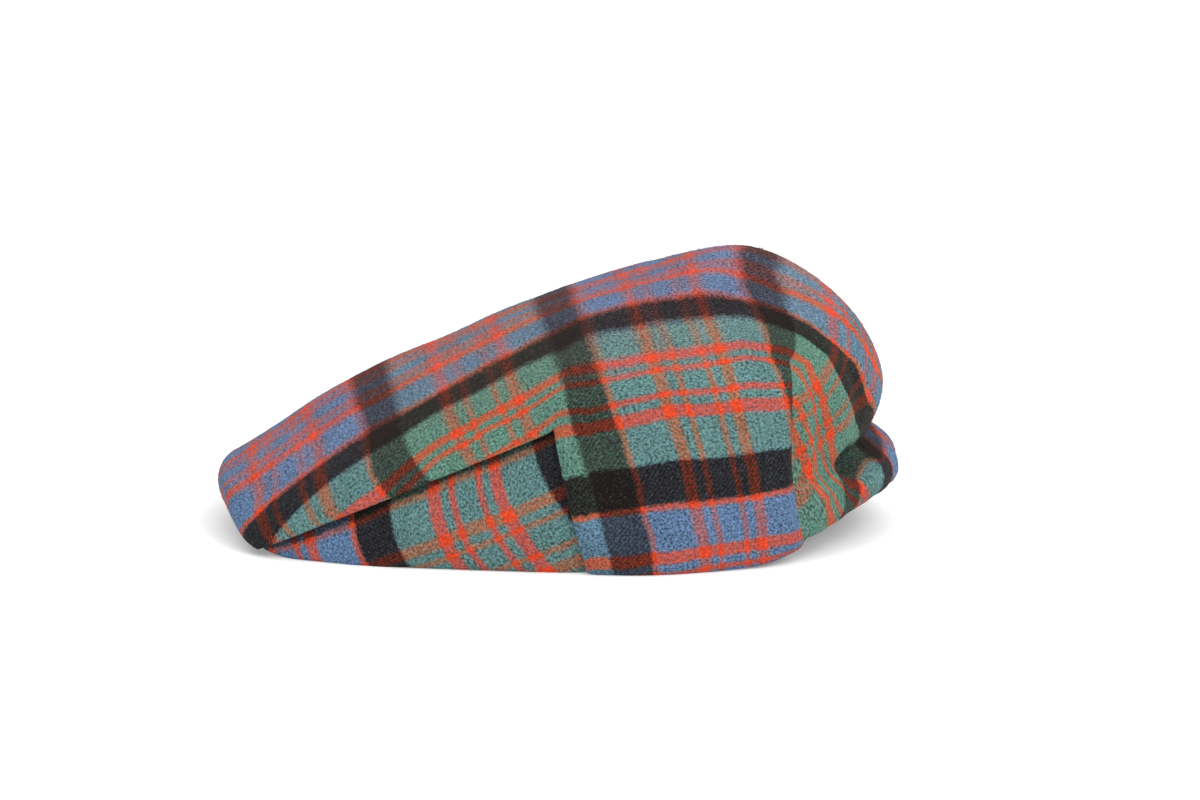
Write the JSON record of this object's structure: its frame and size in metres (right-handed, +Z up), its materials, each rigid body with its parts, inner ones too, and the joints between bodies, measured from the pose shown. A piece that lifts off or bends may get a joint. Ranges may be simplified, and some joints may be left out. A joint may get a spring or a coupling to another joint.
{
  "type": "flat cap",
  "caption": "Soft tartan wool flat cap: a one-piece crown drawn down over a stiff arched peak, with a wedge gusset at each side and a gathered, creased back; worn on the head.",
  "frame": {"origin": "centre of the bounding box, on the level surface that the lower edge rests on", "axes": "-Y the way the peak points, +X to the wearer's left, +Z up"},
  "size_m": [0.169, 0.2809, 0.1146],
  "materials": {
    "crown_cloth": "brushed tartan wool twill, long grain front to back",
    "gusset_left_cloth": "brushed tartan wool twill, strong yarn near upright",
    "gusset_right_cloth": "brushed tartan wool twill, strong yarn near upright",
    "peak_cloth": "brushed tartan wool twill over a stiff board"
  },
  "bodies": {
    "root": {"crown": "crown_cloth", "side_gusset_left": "gusset_left_cloth", "side_gusset_right": "gusset_right_cloth", "peak": "peak_cloth"}
  },
  "joints": []
}
